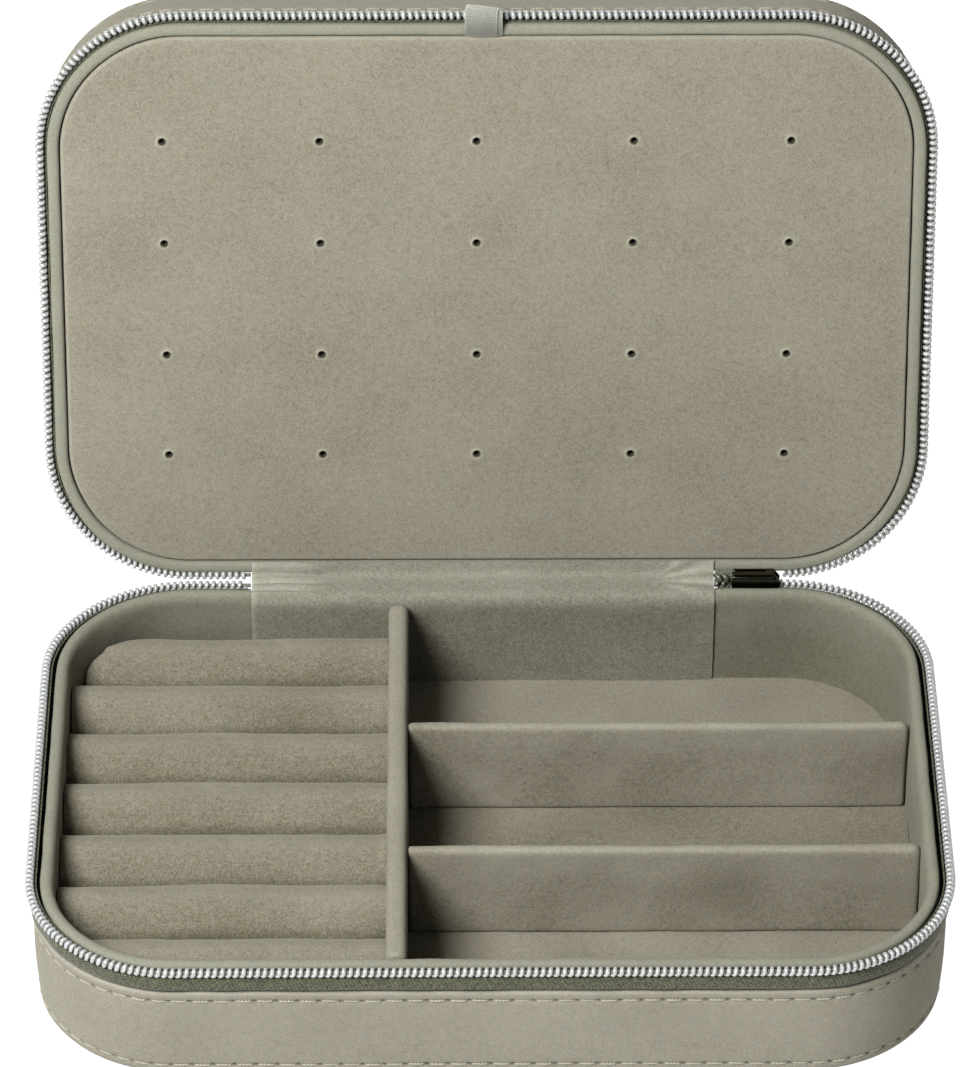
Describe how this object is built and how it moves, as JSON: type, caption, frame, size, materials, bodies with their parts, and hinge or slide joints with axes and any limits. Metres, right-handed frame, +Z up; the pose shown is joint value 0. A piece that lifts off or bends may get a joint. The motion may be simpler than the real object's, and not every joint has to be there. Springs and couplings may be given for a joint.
{
  "type": "travel jewelry case",
  "caption": "Rounded rectangular zip-around jewelry case, velvet covered, with ring rolls, divided tray, hinged lid, pierced earring panel, ribbon tab and zip slider.",
  "frame": {"origin": "centre of the case's underside, where it rests on a table", "axes": "+Z up from the resting face; +X to the right along the hinge, seen from the front; +Y from the front edge to the hinge. The lid is stored open at 101 degrees"},
  "size_m": [0.2102, 0.1919, 0.1759],
  "materials": {
    "velvet": "matt short-pile velvet, sage taupe",
    "velvet_light": "the same velvet brushed the other way, paler and greener",
    "zip_tape": "woven polyester, dark olive",
    "zip_coil": "metallised nylon, bright silver",
    "zip_metal": "polished gunmetal plating",
    "ribbon": "woven satin, pale sage",
    "backing": "flocked board"
  },
  "bodies": {
    "base": {"base_outer_wall": "velvet", "base_bottom_panel": "velvet", "base_zip_tape": "zip_tape", "base_zip_coil": "zip_coil", "base_inner_wall": "velvet_light", "base_floor": "velvet", "ring_roll_1": "velvet", "ring_roll_2": "velvet", "ring_roll_3": "velvet", "ring_roll_4": "velvet", "ring_roll_5": "velvet", "ring_roll_6": "velvet", "ring_roll_7": "velvet", "main_divider": "velvet_light", "cross_divider_rear": "velvet", "cross_divider_front": "velvet", "hinge_lining": "velvet", "hinge_spine": "velvet", "zip_chain_start": "zip_coil"},
    "lid": {"lid_outer_wall": "velvet", "lid_top_panel": "velvet", "lid_zip_tape": "zip_tape", "lid_zip_coil": "zip_coil", "lid_inner_wall": "velvet_light", "lid_lining": "velvet", "earring_panel_cloth_hinge": "velvet"},
    "panel": {"earring_panel": "velvet", "earring_panel_backing": "backing"},
    "tab": {"pull_tab": "ribbon"},
    "slider": {"zip_slider": "zip_metal"},
    "pull_link": {"zip_pull_link": "zip_metal"},
    "puller": {"zip_puller": "zip_metal"}
  },
  "joints": [
    {"name": "lid_hinge", "type": "hinge", "parent": "base", "child": "lid", "pos_m": [0, 0.0727, 0.031], "axis": [-1, 0, 0], "range_deg": [-101, 34], "deforming": ["hinge_lining", "hinge_spine"]},
    {"name": "panel_hinge", "type": "hinge", "parent": "lid", "child": "panel", "pos_m": [0, 0.075, 0.03656], "axis": [1, 0, 0], "range_deg": [0, 90], "deforming": ["earring_panel_cloth_hinge"]},
    {"name": "tab_fold", "type": "hinge", "parent": "panel", "child": "tab", "pos_m": [0, 0.09945, 0.16811], "axis": [-1, 0, 0], "range_deg": [-175, 0]},
    {"name": "zip_slide", "type": "slide", "parent": "base", "child": "slider", "axis": [1, 0, 0], "range_m": [0, 0.004]},
    {"name": "link_swing", "type": "hinge", "parent": "slider", "child": "pull_link", "pos_m": [0.0646, 0.0752, 0.0296], "axis": [-1, 0, 0], "range_deg": [-70, 0]},
    {"name": "puller_sway", "type": "hinge", "parent": "pull_link", "child": "puller", "pos_m": [0.0646, 0.0752, 0.02455], "axis": [0, 1, 0], "range_deg": [-35, 35]}
  ]
}
